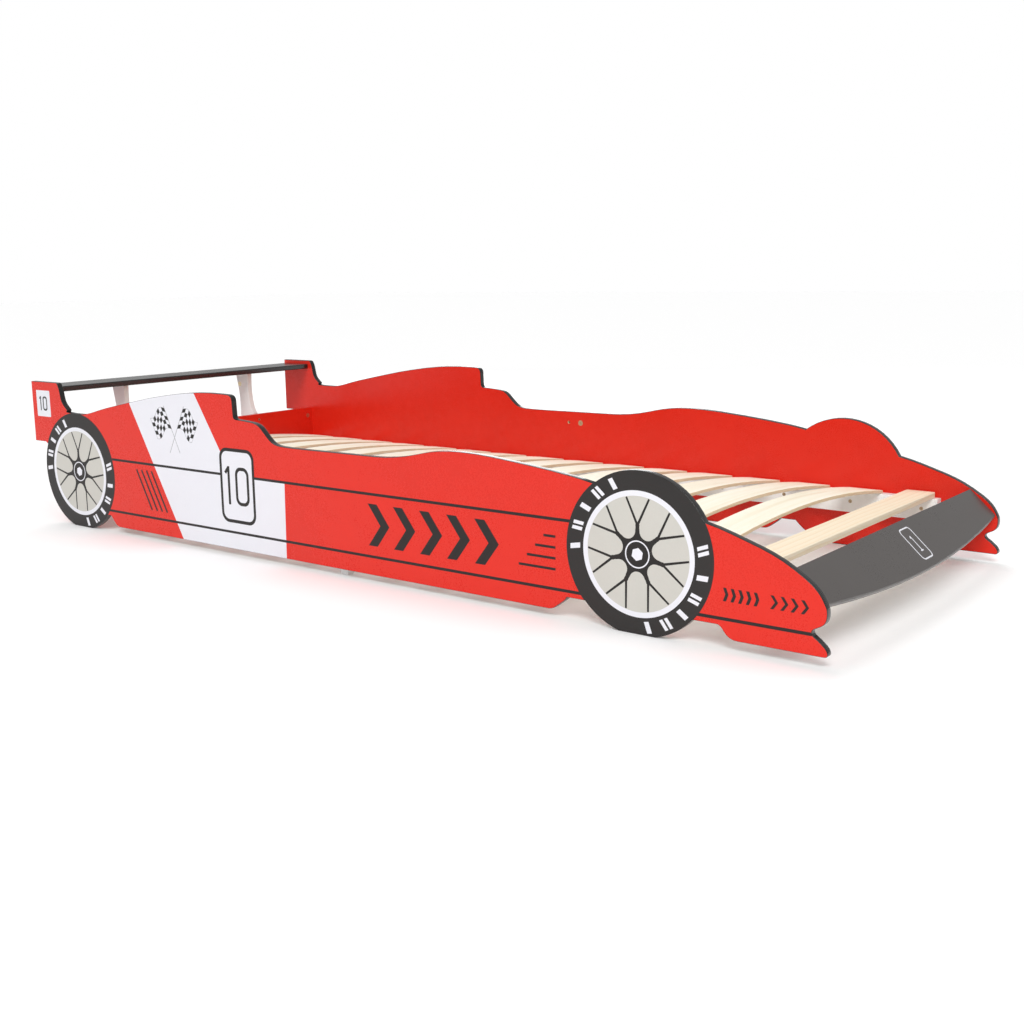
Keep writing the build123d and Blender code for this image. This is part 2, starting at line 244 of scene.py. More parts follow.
def noise(nodes, links, vector, scale=1.0, detail=3.0, roughness=0.5, distortion=0.0):
    node = nodes.new("ShaderNodeTexNoise")
    node.inputs["Scale"].default_value = scale
    node.inputs["Detail"].default_value = detail
    node.inputs["Roughness"].default_value = roughness
    node.inputs["Distortion"].default_value = distortion
    links.new(vector, node.inputs["Vector"])
    return node.outputs["Fac"]


def math_node(nodes, links, operation, a, b=None):
    node = nodes.new("ShaderNodeMath")
    node.operation = operation
    for socket, value in zip(node.inputs, (a, b)):
        if value is None:
            continue
        if isinstance(value, (int, float)):
            socket.default_value = value
        else:
            links.new(value, socket)
    return node.outputs[0]


def remap(nodes, links, value, low, high, to_low, to_high):
    node = nodes.new("ShaderNodeMapRange")
    links.new(value, node.inputs["Value"])
    ends = {"From Min": low, "From Max": high, "To Min": to_low, "To Max": to_high}
    for name, end in ends.items():
        node.inputs[name].default_value = end
    return node.outputs["Result"]


def ramp(nodes, links, value, stops):
    node = nodes.new("ShaderNodeValToRGB")
    links.new(value, node.inputs["Fac"])
    elements = node.color_ramp.elements
    while len(elements) < len(stops):
        elements.new(0.5)
    for element, (place, colour) in zip(elements, stops):
        element.position = place
        element.color = (*colour, 1)
    return node.outputs["Color"]


def two_tone(nodes, links, value, dark, light):
    """A colour that follows a noise from dark to light."""
    return ramp(nodes, links, value, [(DARK_AT, dark), (LIGHT_AT, light)])


def uneven(nodes, links, value, low, high):
    """A number that follows a noise from low to high."""
    return remap(nodes, links, value, DARK_AT, LIGHT_AT, low, high)


def mix_colour(nodes, links, share, a, b):
    node = nodes.new("ShaderNodeMix")
    node.data_type = "RGBA"
    sockets = [s for s in node.inputs if s.enabled]
    for socket, value in zip(sockets, (share, a, b)):
        if isinstance(value, (int, float)):
            socket.default_value = value
        elif isinstance(value, tuple):
            socket.default_value = (*value, 1)
        else:
            links.new(value, socket)
    return [s for s in node.outputs if s.enabled][0]


def bump(nodes, links, shader, height, distance, strength=1.0):
    node = nodes.new("ShaderNodeBump")
    node.inputs["Distance"].default_value = distance
    node.inputs["Strength"].default_value = strength
    links.new(height, node.inputs["Height"])
    links.new(node.outputs["Normal"], shader.inputs["Normal"])


def tinted(colour, factor):
    return tuple(min(1.0, c * factor) for c in colour)


# =======================================================================================
# Materials
# =======================================================================================
def lacquer(name, colour, roughness=0.4, variation=0.03, texture=0.00004, coat=0.0, specular=0.3):
    """Satin foil or lacquer on board: faint clouding, a fine pebbled surface and uneven sheen."""
    material, nodes, links, shader = new_material(name)
    place = object_place(nodes)
    cloud = noise(nodes, links, place, scale=5.0, detail=4.0, roughness=0.6)
    speck = noise(nodes, links, place, scale=420.0, detail=2.0, roughness=0.6)
    both = math_node(nodes, links, "ADD", math_node(nodes, links, "MULTIPLY", cloud, 0.6),
                     math_node(nodes, links, "MULTIPLY", speck, 0.4))
    dark, light = tinted(colour, 1 - variation), tinted(colour, 1 + variation)
    links.new(two_tone(nodes, links, both, dark, light), shader.inputs["Base Color"])
    links.new(uneven(nodes, links, both, roughness - 0.05, roughness + 0.07),
              shader.inputs["Roughness"])
    shader.inputs["Specular IOR Level"].default_value = specular
    shader.inputs["Coat Weight"].default_value = coat
    shader.inputs["Coat Roughness"].default_value = 0.18
    pebble = noise(nodes, links, place, scale=650.0, detail=2.0)
    bump(nodes, links, shader, pebble, texture, strength=0.6)
    return material


def raw_mdf():
    """Pressed fibre, where a hole cuts through the lacquer."""
    material, nodes, links, shader = new_material("raw_mdf")
    fibre = noise(nodes, links, object_place(nodes), scale=900.0, detail=4.0, roughness=0.7)
    links.new(two_tone(nodes, links, fibre, (0.50, 0.33, 0.19), (0.72, 0.53, 0.34)),
              shader.inputs["Base Color"])
    shader.inputs["Roughness"].default_value = 0.85
    bump(nodes, links, shader, fibre, 0.0002)
    return material


def side_face_share(nodes, links):
    """1 on faces that look along the bed, 0 on the faces that look up, down or across."""
    geometry = nodes.new("ShaderNodeNewGeometry")
    split = nodes.new("ShaderNodeSeparateXYZ")
    links.new(geometry.outputs["Normal"], split.inputs["Vector"])
    return remap(nodes, links, math_node(nodes, links, "ABSOLUTE", split.outputs["X"]), 0.55, 0.8, 0, 1)


def arc_radius(nodes, links, centre_z):
    """Distance from the axis that the slats are bent round, which is level and runs along X."""
    split = nodes.new("ShaderNodeSeparateXYZ")
    links.new(object_place(nodes), split.inputs["Vector"])
    height = math_node(nodes, links, "SUBTRACT", split.outputs["Z"], centre_z)
    squares = math_node(nodes, links, "ADD",
                        math_node(nodes, links, "MULTIPLY", split.outputs["Y"], split.outputs["Y"]),
                        math_node(nodes, links, "MULTIPLY", height, height))
    return math_node(nodes, links, "SQRT", squares)


def bent_slat_centre():
    """Height of the bending axis, from the ends and the crown of a slat."""
    low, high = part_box("slat_01")
    half = (high.y - low.y) / 2
    return high.z - (half ** 2 + SLAT_CROWN ** 2) / (2 * SLAT_CROWN)


def veneer_edge(nodes, links):
    """The slat's long edge: stacked veneers with a dark glue line between them."""
    depth = math_node(nodes, links, "SUBTRACT", arc_radius(nodes, links, bent_slat_centre()), PLY_ORIGIN)
    layer = math_node(nodes, links, "FRACT", math_node(nodes, links, "DIVIDE", depth, PLY))
    glue = math_node(nodes, links, "GREATER_THAN", layer, GLUE_START)
    grain = noise(nodes, links, stretched(nodes, links, (500, 9, 500)), detail=3.0, roughness=0.6)
    wood = two_tone(nodes, links, grain, (0.70, 0.53, 0.34), (0.86, 0.71, 0.50))
    return mix_colour(nodes, links, math_node(nodes, links, "MULTIPLY", glue, 0.35), wood,
                      (0.36, 0.22, 0.12))


def birch_slat():
    """Rotary-cut birch face with soft grain along the slat, and glued veneers on its long edges."""
    material, nodes, links, shader = new_material("birch_slat")
    drift = noise(nodes, links, stretched(nodes, links, (14, 1.3, 14)), detail=3.0)
    grain = noise(nodes, links, stretched(nodes, links, (75, 2.4, 75)), detail=5.0, roughness=0.55,
                  distortion=0.6)
    pores = noise(nodes, links, stretched(nodes, links, (1500, 36, 1500)), detail=2.0)
    figure = math_node(nodes, links, "ADD", math_node(nodes, links, "MULTIPLY", grain, 0.6),
                       math_node(nodes, links, "MULTIPLY", drift, 0.4))
    face = ramp(nodes, links, figure, [(0.30, (0.84, 0.76, 0.57)), (0.44, (0.91, 0.86, 0.69)),
                                       (0.55, (0.94, 0.90, 0.76)), (0.72, (0.96, 0.94, 0.83))])
    face = mix_colour(nodes, links, remap(nodes, links, pores, 0.58, 0.75, 0, 0.35), face,
                      (0.68, 0.54, 0.35))
    links.new(mix_colour(nodes, links, side_face_share(nodes, links), face, veneer_edge(nodes, links)),
              shader.inputs["Base Color"])
    links.new(uneven(nodes, links, grain, 0.5, 0.66), shader.inputs["Roughness"])
    relief = math_node(nodes, links, "ADD", grain, math_node(nodes, links, "MULTIPLY", pores, 0.5))
    bump(nodes, links, shader, relief, 0.0002, strength=0.5)
    return material


def pine_bar():
    """Planed pine with wandering growth lines along the bar."""
    material, nodes, links, shader = new_material("pine_bar")
    wander = noise(nodes, links, stretched(nodes, links, (7, 1.5, 7)), detail=2.0)
    split = nodes.new("ShaderNodeSeparateXYZ")
    links.new(object_place(nodes), split.inputs["Vector"])
    across = math_node(nodes, links, "ADD", split.outputs["X"],
                       math_node(nodes, links, "MULTIPLY", split.outputs["Z"], 0.8))
    across = math_node(nodes, links, "ADD", math_node(nodes, links, "MULTIPLY", across, 70.0),
                       math_node(nodes, links, "MULTIPLY", wander, 3.2))
    ring = math_node(nodes, links, "FRACT", across)
    fibre = noise(nodes, links, stretched(nodes, links, (900, 16, 900)), detail=3.0, roughness=0.6)
    late = ramp(nodes, links, ring, [(0.0, (0.93, 0.83, 0.65)), (0.60, (0.91, 0.79, 0.59)),
                                     (0.92, (0.86, 0.71, 0.49)), (1.0, (0.93, 0.83, 0.65))])
    body = mix_colour(nodes, links, remap(nodes, links, fibre, 0.45, 0.75, 0, 0.3), late,
                      (0.74, 0.55, 0.34))
    links.new(body, shader.inputs["Base Color"])
    links.new(uneven(nodes, links, fibre, 0.48, 0.62), shader.inputs["Roughness"])
    bump(nodes, links, shader, math_node(nodes, links, "ADD", ring, fibre), 0.00012, strength=0.4)
    return material


def beech_dowel():
    """Pale brown beech with short flecks."""
    material, nodes, links, shader = new_material("beech_dowel")
    fleck = noise(nodes, links, object_place(nodes), scale=500.0, roughness=0.6)
    links.new(two_tone(nodes, links, fleck, (0.52, 0.33, 0.18), (0.74, 0.54, 0.35)),
              shader.inputs["Base Color"])
    shader.inputs["Roughness"].default_value = 0.6
    return material


def metal(name, colour, roughness, grain):
    """Plated steel or cast zinc, with fine scratches or grain."""
    material, nodes, links, shader = new_material(name)
    place = object_place(nodes)
    cloud = noise(nodes, links, place, scale=grain, detail=4.0, roughness=0.6)
    links.new(two_tone(nodes, links, cloud, tinted(colour, 0.86), tinted(colour, 1.08)),
              shader.inputs["Base Color"])
    links.new(uneven(nodes, links, cloud, roughness - 0.06, roughness + 0.12),
              shader.inputs["Roughness"])
    shader.inputs["Metallic"].default_value = 1.0
    scratches = noise(nodes, links, place, scale=1800.0, detail=2.0)
    bump(nodes, links, shader, scratches, 0.00003, strength=0.5)
    return material


def build_materials():
    return {
        "red": lacquer("red_lacquer", (0.72, 0.021, 0.009), roughness=0.27, variation=0.06,
                       texture=0.00003, specular=0.32),
        "edge": lacquer("black_edge_lacquer", (0.010, 0.0092, 0.009), roughness=0.24, variation=0.15,
                        texture=0.00005, coat=0.3, specular=0.4),
        "black": lacquer("black_lacquer", (0.014, 0.013, 0.012), roughness=0.24, variation=0.12,
                         texture=0.00003, coat=0.35, specular=0.5),
        "grey": lacquer("grey_laminate", (0.088, 0.080, 0.076), roughness=0.30, variation=0.07,
                        texture=0.00003, coat=0.1, specular=0.25),
        "white_board": lacquer("white_lacquer", (0.86, 0.855, 0.84), roughness=0.42, variation=0.02,
                               texture=0.00008),
        "white": lacquer("white_film", (0.79, 0.79, 0.84), variation=0.02),
        "ink": lacquer("black_film", (0.018, 0.0155, 0.0145), variation=0.12),
        "tyre": lacquer("charcoal_film", (0.026, 0.023, 0.022), roughness=0.42, variation=0.12),
        "disc": lacquer("wheel_grey_film", (0.575, 0.56, 0.515)),
        "pole": lacquer("pole_grey_film", (0.42, 0.42, 0.44)),
        "mdf": raw_mdf(),
        "birch": birch_slat(),
        "pine": pine_bar(),
        "beech": beech_dowel(),
        "zinc": metal("zinc_cast", (0.72, 0.58, 0.38), roughness=0.38, grain=300.0),
        # the screws' colour is yellow plated steel made darker, towards bronze: painted shade standing
        # in for the shaded recesses round the screws
        "steel": metal("plated_steel_with_painted_shade", (0.50, 0.40, 0.27), roughness=0.30, grain=160.0),
    }


# =======================================================================================
# Flat shapes, as closed loops of (x, z) points in millimetres
# =======================================================================================
def on_circle(x, z, radius, degrees):
    return (x + radius * math.cos(math.radians(degrees)), z + radius * math.sin(math.radians(degrees)))


def circle(x, z, radius, steps=CURVE_STEPS):
    return [on_circle(x, z, radius, 360 * i / steps) for i in range(steps)]


def rounded_box(x0, x1, z0, z1, radius):
    left, right, low, high = x0 + radius, x1 - radius, z0 + radius, z1 - radius
    corners = ((right, high, 0), (left, high, 90), (left, low, 180), (right, low, 270))
    return [on_circle(x, z, radius, start + 90 * i / CORNER_STEPS) for x, z, start in corners
            for i in range(CORNER_STEPS + 1)]


def stroke(start, end, width, end_width=None):
    """A straight bar from start to end, which may taper."""
    along = Vector(end) - Vector(start)
    side = Vector((-along.y, along.x)).normalized() / 2
    end_width = width if end_width is None else end_width
    corners = [Vector(start) + side * width, Vector(start) - side * width,
               Vector(end) - side * end_width, Vector(end) + side * end_width]
    return [tuple(c) for c in corners]


def radial(x, z, degrees):
    """Maps (along, across) measured from a wheel's centre in one direction to (x, z)."""
    out = Vector((math.cos(math.radians(degrees)), math.sin(math.radians(degrees))))
    left = Vector((-out.y, out.x))
    return lambda along, across: tuple(Vector((x, z)) + out * along + left * across)


# =======================================================================================
# Decoration: lists of (colour, loop), painted in order
# =======================================================================================
def wheel_spokes(x, z):
    """Black forked spokes, with round-ended openings between them that run along the stems."""
    pitch = 360 / SPOKES
    half = math.radians(pitch / 2)
    edge = STEM / 2
    lobe_at = (WEB_R - edge) / (1 - math.sin(half))
    lobe_r = lobe_at - WEB_R
    touch_at = lobe_at * math.cos(half)
    shapes = [("ink", circle(x, z, touch_at + WEB_OVERLAP))]
    for k in range(SPOKES):
        start = SPOKE_START + pitch * k
        first, second = radial(x, z, start), radial(x, z, start + pitch)
        middle = on_circle(x, z, lobe_at, start + pitch / 2)
        shapes.append(("disc", circle(*middle, lobe_r, LOBE_STEPS)))
        shapes.append(("disc", [first(touch_at, edge), first(SPOKE_SPLIT, edge),
                                second(SPOKE_SPLIT, -edge), second(touch_at, -edge)]))
    for k in range(SPOKES):
        middle = SPOKE_START + pitch * k
        split = on_circle(x, z, SPOKE_SPLIT - SPLIT_OVERLAP, middle)
        shapes.append(("ink", stroke(on_circle(x, z, HUB_R, middle), split, STEM, STEM_TIP)))
        for tip in (middle - SPOKE_SPREAD, middle + SPOKE_SPREAD):
            shapes.append(("ink", stroke(split, on_circle(x, z, SPOKE_END, tip), *FORK)))
        shapes.append(("ink", circle(*split, STEM / 2, FORK_STEPS)))
    return shapes


def wheel_hub(x, z):
    ring_outer, ring_inner = HUB_RING
    hexagon = [on_circle(x, z, NUT_R, 60 * i + NUT_TURN) for i in range(6)]
    return [("ink", circle(x, z, HUB_R)), ("white", circle(x, z, ring_outer, RING_STEPS)),
            ("ink", circle(x, z, ring_inner, RING_STEPS)), ("white", hexagon)]


def tyre_marks(x, z):
    """Short slanted bars round the tyre, single and in pairs by turns, like tread marks."""
    width, height = TYRE_MARK
    low, high = TYRE_MARK_R - height / 2, TYRE_MARK_R + height / 2
    shapes = []
    for i, angle in enumerate(TYRE_MARKS):
        place = radial(x, z, angle)
        single = i % 2 == 0
        half = width / 2 if single else width * TYRE_MARK_THIN / 2
        for across in ((0,) if single else (-TYRE_MARK_PAIR, TYRE_MARK_PAIR)):
            foot, top = across - TYRE_MARK_LEAN, across + TYRE_MARK_LEAN
            shapes.append(("white", [place(low, foot - half), place(low, foot + half),
                                     place(high, top + half), place(high, top - half)]))
    return shapes


def wheel(x, z):
    return ([("tyre", circle(x, z, TYRE_R + TYRE_OVERLAP, RIM_STEPS)),
             ("white", circle(x, z, RIM_R, RIM_STEPS)), ("disc", circle(x, z, DISC_R, RIM_STEPS))]
            + wheel_spokes(x, z) + wheel_hub(x, z) + tyre_marks(x, z))


def white_flash():
    """The white area, which reaches further to the nose below the upper stripe than above it."""
    rear_top, rear_bottom = FLASH_REAR
    front, front_bottom = FLASH_FRONT
    return [("white", [(rear_top, PANEL_TOP), (rear_bottom, PANEL_BOTTOM), (front_bottom, PANEL_BOTTOM),
                       (front, UPPER_STRIPE_Z), (FLASH_STEP, UPPER_STRIPE_Z), FLASH_BEND,
                       (FLASH_FRONT_TOP, PANEL_TOP)])]


def stripes():
    return [("ink", stroke((start, z), (end, z), STRIPE)) for start, end, z in STRIPES]


def louvres():
    top, bottom = LOUVRE_Z
    return [("ink", stroke((x, top), (x + LOUVRE_LEAN, bottom), LOUVRE)) for x in LOUVRES_X]


def number(x, z, scale, mirror):
    """A plain race number, 10, in thin strokes. mirror is -1 where the board is seen from the left."""
    def at(u, v):
        return (x + mirror * u * scale, z + v * scale)
    pen = DIGIT_STROKE * scale ** SMALL_PEN
    flag_start, flag_end = ONE_FLAG
    one = [("ink", stroke(at(ONE_X, -DIGIT_HALF), at(ONE_X, DIGIT_HALF), pen)),
           ("ink", stroke(at(*flag_start), at(*flag_end), pen))]
    left, right = sorted(at(u, 0)[0] for u in NOUGHT_X)
    low, high = at(0, -DIGIT_HALF)[1], at(0, DIGIT_HALF)[1]
    outer, inner = (corner * scale for corner in NOUGHT_CORNERS)
    nought = [("ink", rounded_box(left, right, low, high, outer)),
              ("white", rounded_box(left + pen, right - pen, low + pen, high - pen, inner))]
    return one + nought


def plate(mirror):
    x0, x1, z0, z1 = PLATE
    outer, inner = PLATE_CORNERS
    border = DIGIT_STROKE
    return ([("ink", rounded_box(x0, x1, z0, z1, outer)),
             ("white", rounded_box(x0 + border, x1 - border, z0 + border, z1 - border, inner))]
            + number((x0 + x1) / 2, (z0 + z1) / 2, 1.0, mirror))


def fin_sticker(mirror):
    x0, x1, z0, z1 = STICKER
    return ([("white", rounded_box(x0, x1, z0, z1, STICKER_CORNER))]
            + number((x0 + x1) / 2, (z0 + z1) / 2, STICKER_DIGITS, mirror))


def chequered_flag(corner, along, down):
    """Chequered cloth from its top corner at the pole, rippled along its length."""
    columns, rows = FLAG_CELLS
    corner, along, down = Vector(corner), Vector(along), Vector(down)

    def point(u, v):
        ripple = math.sin(u * math.pi * RIPPLE_TURN) * RIPPLE
        return tuple(corner + along * u + down * v - down.normalized() * ripple)

    def line(start, end, steps):
        spots = [point(start[0] + (end[0] - start[0]) * i / steps,
                       start[1] + (end[1] - start[1]) * i / steps) for i in range(steps + 1)]
        return [("pole", stroke(a, b, FLAG_LINE)) for a, b in zip(spots, spots[1:])]

    def cell(i, j):
        u0, u1 = (i + FLAG_GAP) / columns, (i + 1 - FLAG_GAP) / columns
        v0, v1 = (j + FLAG_GAP) / rows, (j + 1 - FLAG_GAP) / rows
        um = (u0 + u1) / 2
        return ("ink", [point(u0, v0), point(um, v0), point(u1, v0),
                        point(u1, v1), point(um, v1), point(u0, v1)])

    hem = (line((0, 0), (1, 0), FLAG_LINE_STEPS) + line((1, 0), (1, 1), 1)
           + line((0, 1), (1, 1), FLAG_LINE_STEPS))
    return hem + [cell(i, j) for i in range(columns) for j in range(rows) if (i + j) % 2 == 0]


def crossed_flags():
    poles = [("pole", stroke(top, foot, POLE)) for top, foot, _, _, _ in FLAGS]
    return poles + [shape for flag in FLAGS for shape in chequered_flag(*flag[2:])]


def chevron(x, z, width, height, thick):
    half = height / 2
    return [(x, z + half), (x + thick, z + half), (x + width, z), (x + thick, z - half),
            (x, z - half), (x + width - thick, z)]


def chevron_row(start, end, z, count, height, thick, gap):
    """Arrow shapes that point to the nose, spread evenly from start to end."""
    pitch = (end - start) / count
    return [("ink", chevron(start + pitch * i, z, pitch - gap, height, thick)) for i in range(count)]


def speed_lines():
    """Level lines that end under each other and start later and later towards the top."""
    (x, z), (step_x, step_z) = SPEED_START, SPEED_STEP
    return [("ink", stroke((x + step_x * i, z + step_z * i), (SPEED_END, z + step_z * i), SPEED_LINE))
            for i in range(SPEED_LINES)]


def decoration(side):
    mirror = -side
    nose_rows = [shape for row in NOSE_CHEVRONS for shape in chevron_row(*row)]
    return (white_flash() + stripes() + louvres() + plate(mirror) + fin_sticker(mirror)
            + crossed_flags() + chevron_row(*SIDE_CHEVRONS) + speed_lines() + nose_rows
            + wheel(*REAR_WHEEL) + wheel(*FRONT_WHEEL))


# =======================================================================================
# Side panels
# =======================================================================================
def joined_mesh(node):
    """The CAD node's mesh with its split corners joined."""
    work = bmesh.new()
    work.from_mesh(frame["nodes"][node].data)
    bmesh.ops.remove_doubles(work, verts=work.verts, dist=TOUCH / 2)
    return work


def loops_at(work, y):
    """Closed (x, z) loops round the flat face at y, the largest first."""
    flat = {f for f in work.faces if all(abs(v.co.y - y) < TOUCH for v in f.verts)}
    rim = [e for e in work.edges if sum(f in flat for f in e.link_faces) == 1]
    ways = {}
    for edge in rim:
        for vertex in edge.verts:
            ways.setdefault(vertex, []).append(edge)
    # a dict keeps its order, so that each run starts a loop at the same edge
    left, loops = dict.fromkeys(rim), []
    while left:
        edge, _ = left.popitem()
        first, vertex = edge.verts
        loop = [first, vertex]
        while vertex is not first:
            edge = next(e for e in ways[vertex] if e in left)
            del left[edge]
            vertex = edge.other_vert(vertex)
            loop.append(vertex)
        loops.append([(v.co.x, v.co.z) for v in loop[:-1]])
    loops = [loop if area(loop) > 0 else loop[::-1] for loop in loops]
    return sorted(loops, key=area, reverse=True)


def area(loop):
    return sum(a[0] * b[1] - b[0] * a[1] for a, b in zip(loop, loop[1:] + loop[:1])) / 2


def inset(loop, distance):
    """The loop moved inwards by a distance, with mitred corners."""
    points = [Vector(p) for p in loop]
    moved = []
    for before, here, after in zip(points[-1:] + points[:-1], points, points[1:] + points[:1]):
        first, second = (here - before).normalized(), (after - here).normalized()
        normal = Vector((-first.y - second.y, first.x + second.x))
        normal /= max(MITRE_LIMIT, 1 + first.dot(second))
        moved.append(tuple(here + normal * distance))
    return moved


def triangles(loops):
    """Triangles between crossing loops, each with the set of loops that it lies in."""
    points, faces = [], []
    for loop in loops:
        faces.append(list(range(len(points), len(points) + len(loop))))
        points += [Vector(p) for p in (loop if area(loop) > 0 else loop[::-1])]
    verts, _, tris, _, _, inside = delaunay_2d_cdt(points, [], faces, 0, CROSSING)
    return verts, list(zip(tris, map(set, inside)))


def ring_profile(side, outer_y, inner_y):
    """(inset, y) of each ring from the outer face to the inner face."""
    quarter = [math.radians(90 * i / ROUND_STEPS) for i in range(ROUND_STEPS + 1)]
    outer = [(OUTER_ROUND * (1 - math.sin(t)), outer_y - side * OUTER_ROUND * (1 - math.cos(t)))
             for t in quarter]
    inner = [(INNER_ROUND * (1 - math.cos(t)), inner_y + side * INNER_ROUND * (1 - math.sin(t)))
             for t in quarter]
    return outer + inner


class Shell:
    """Collects points and faces with a material number, and makes one closed mesh of them."""

    def __init__(self):
        self.points, self.faces, self.kinds, self.smooth = [], [], [], []

    def add_points(self, points):
        start = len(self.points)
        self.points += [tuple(p) for p in points]
        return list(range(start, len(self.points)))

    def add_face(self, corners, kind=0, smooth=False):
        self.faces.append(corners)
        self.kinds.append(kind)
        self.smooth.append(smooth)

    def bridge(self, one, other, kind, smooth=True):
        for i in range(len(one)):
            k = (i + 1) % len(one)
            self.add_face((one[i], one[k], other[k], other[i]), kind, smooth)

    def cap(self, verts, tris, y, kind):
        index = self.add_points([(v[0], y, v[1]) for v in verts])
        for tri in tris:
            self.add_face([index[i] for i in tri], kind)

    def build(self, name, materials):
        mesh = bpy.data.meshes.new(name)
        mesh.from_pydata(self.points, [], self.faces)
        for material in materials:
            mesh.materials.append(material)
        mesh.polygons.foreach_set("material_index", self.kinds)
        mesh.polygons.foreach_set("use_smooth", self.smooth)
        work = bmesh.new()
        work.from_mesh(mesh)
        bmesh.ops.remove_doubles(work, verts=work.verts, dist=TOUCH / 10)
        loose = [v for v in work.verts if not v.link_faces]
        bmesh.ops.delete(work, geom=loose, context="VERTS")
        bmesh.ops.recalc_face_normals(work, faces=work.faces)
        work.to_mesh(mesh)
        work.free()
        piece = bpy.data.objects.new(name, mesh)
        bpy.context.scene.collection.objects.link(piece)
        return piece


def build_panel(name, side, finish):
    """The lacquered board with softened edges and blind holes on its inner face."""
    node = name + "_side_panel"
    low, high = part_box(node)
    outer_y, inner_y = (low.y, high.y) if side < 0 else (high.y, low.y)
    work = joined_mesh(node)
    outline = loops_at(work, outer_y)[0]
    holes = loops_at(work, inner_y)[1:]
    work.free()
    shell = Shell()
    rings = [shell.add_points([(x, y, z) for x, z in inset(outline, depth)])
             for depth, y in ring_profile(side, outer_y, inner_y)]
    for one, other in zip(rings, rings[1:]):
        shell.bridge(one, other, EDGE)
    verts, tris = triangles([inset(outline, OUTER_ROUND)])
    shell.cap(verts, [t for t, inside in tris if 0 in inside], outer_y, PAINT)
    verts, tris = triangles([inset(outline, INNER_ROUND)] + holes)
    shell.cap(verts, [t for t, inside in tris if inside == {0}], inner_y, PAINT)
    for hole in holes:
        bottom_y = inner_y + side * HOLE_DEPTH
        top = shell.add_points([(x, inner_y, z) for x, z in hole])
        bottom = shell.add_points([(x, bottom_y, z) for x, z in hole])
        shell.bridge(top, bottom, RAW)
        shell.add_face(bottom, RAW)
    panel = shell.build(name + "_panel_board", [finish["red"], finish["edge"], finish["mdf"]])
    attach(panel, "root")
    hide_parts(node)
    return outline, outer_y


def in_frame(loop):
    """A loop in millimetres from the rear wheel, in the shared frame's metres."""
    return [(WHEEL_X + x * MM, (z + AXLE_HEIGHT) * MM) for x, z in loop]


def film(name, tris, material, levels):
    """A thin closed solid over triangles, whose corners are given at its lower and its upper level."""
    shell = Shell()
    lower, upper = [shell.add_points(level) for level in levels]
    sides = {}
    for tri in tris:
        for index in (lower, upper):
            shell.add_face([index[i] for i in tri])
        for pair in zip(tri, tri[1:] + tri[:1]):
            sides[frozenset(pair)] = sides.get(frozenset(pair), 0) + 1
    for a, b in (tuple(pair) for pair, count in sides.items() if count == 1):
        shell.add_face((lower[a], lower[b], upper[b], upper[a]))
    piece = shell.build(name, [material])
    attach(piece, "root")


def print_panel(name, side, outline, outer_y, finish):
    """Paints the decoration in order, so that each spot has the last colour laid on it."""
    shapes = decoration(side)
    board = inset(outline, OUTER_ROUND)
    verts, tris = triangles([board] + [in_frame(loop) for _, loop in shapes])
    painted = {}
    for tri, inside in tris:
        if 0 in inside and len(inside) > 1:
            painted.setdefault(shapes[max(inside) - 1][0], []).append(list(tri))
    levels = [[(v[0], y, v[1]) for v in verts] for y in (outer_y, outer_y + side * FILM)]
    for colour in sorted(painted):
        film("{}_panel_print_{}".format(name, colour), painted[colour], finish[colour],
             levels)


# =======================================================================================
# Mark on the nose board
# =======================================================================================
def nose_mark(finish):
    """A thin white outlined box with a plain figure 1 in it, printed on the sloping board."""
    low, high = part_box("nose_board")
    slope = math.radians(NOSE_ANGLE)
    down = Vector((math.cos(slope), 0, -math.sin(slope)))
    up = Vector((math.sin(slope), 0, math.cos(slope)))
    # the board's rear top edge is its highest line, one thickness of board ahead of its lowest x
    start = Vector((low.x + BOARD * MM * math.sin(slope), 0, high.z))
    u0, u1, v0, v1 = NOSE_MARK
    top, foot, middle = u0 + NOSE_DIGIT_GAP, u1 - NOSE_DIGIT_GAP, (v0 + v1) / 2
    flag = [(top + u, middle + v) for u, v in NOSE_FLAG]
    loops = [rounded_box(u0, u1, v0, v1, NOSE_CORNER),
             rounded_box(u0 + NOSE_LINE, u1 - NOSE_LINE, v0 + NOSE_LINE, v1 - NOSE_LINE,
                         NOSE_CORNER - NOSE_LINE),
             stroke((top, middle), (foot, middle), NOSE_LINE),
             stroke(*flag, NOSE_LINE),
             stroke((foot, middle - NOSE_SERIF), (foot, middle + NOSE_SERIF), NOSE_LINE)]
    verts, tris = triangles([[(u * MM, v * MM) for u, v in loop] for loop in loops])
    # the box's outline and the digit's strokes, without the ground between them
    shown = [list(tri) for tri, inside in tris if inside and inside != {0, 1}]
    film("nose_board_mark", shown, finish["white"],
         [[start + down * p[0] + Vector((0, p[1], 0)) + up * lift for p in verts] for lift in (0, FILM)])


# =======================================================================================
# Finishes on the CAD parts that stay
# =======================================================================================
FINISH_OF_SLOT = {"red_board": "red", "black_board": "black", "grey_board": "grey",
                  "white_board": "white_board", "birch_veneer": "birch", "pine": "pine",
                  "beech": "beech", "zinc": "zinc", "steel": "steel"}


def finish_cad_parts(finish):
    slots = {s["node"]: s["material_slot"] for s in frame["record"]["subparts"]}
    for name, part in frame["nodes"].items():
        for holder in part.material_slots:
            holder.link = "OBJECT"
            holder.material = finish[FINISH_OF_SLOT[slots[name]]]


